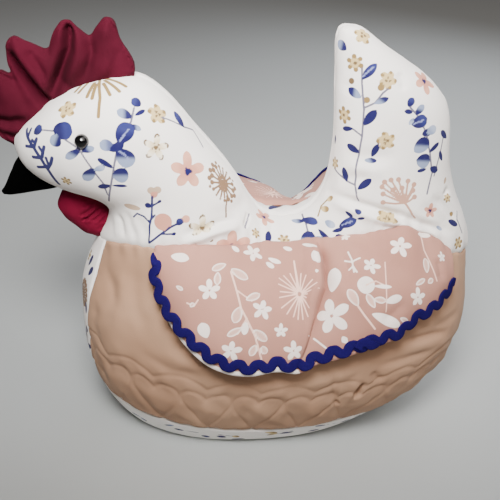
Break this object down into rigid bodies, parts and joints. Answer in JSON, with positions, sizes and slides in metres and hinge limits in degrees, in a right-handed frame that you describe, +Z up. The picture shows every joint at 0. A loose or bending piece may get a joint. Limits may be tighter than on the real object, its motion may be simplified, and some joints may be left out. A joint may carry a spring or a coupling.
{
  "type": "egg cosy",
  "caption": "Padded cloth hen cosy, open underneath: floral back, head and tail, tan quilted sides, printed wings edged with ric-rac, red comb; it stands over a bowl of eggs to keep them warm",
  "frame": {"origin": "middle of the bounding box, on the plane of the hem's lower edge", "axes": "X from beak to tail, Y from the hen's left wing to its right wing, Z up"},
  "size_m": [0.227, 0.1588, 0.2007],
  "materials": {
    "floral": "matt printed cotton, white ground",
    "tan": "matt plain cotton, quilted",
    "wing_print": "matt printed cotton, pink beige ground",
    "braid": "woven ric-rac braid",
    "comb_red": "matt plain cotton",
    "wattle_red": "plain cotton, slight sheen",
    "felt_black": "matt felt",
    "bead": "polished bead"
  },
  "bodies": {
    "root": {"upper_left": "floral", "upper_right": "floral", "side_left": "tan", "side_right": "tan", "chest_gusset": "floral", "hem_band": "floral", "wing_left": "wing_print", "wing_right": "wing_print", "ricrac_left": "braid", "ricrac_right": "braid", "comb": "comb_red", "wattle": "wattle_red", "beak": "felt_black", "eye_left": "bead", "eye_right": "bead"}
  },
  "joints": []
}
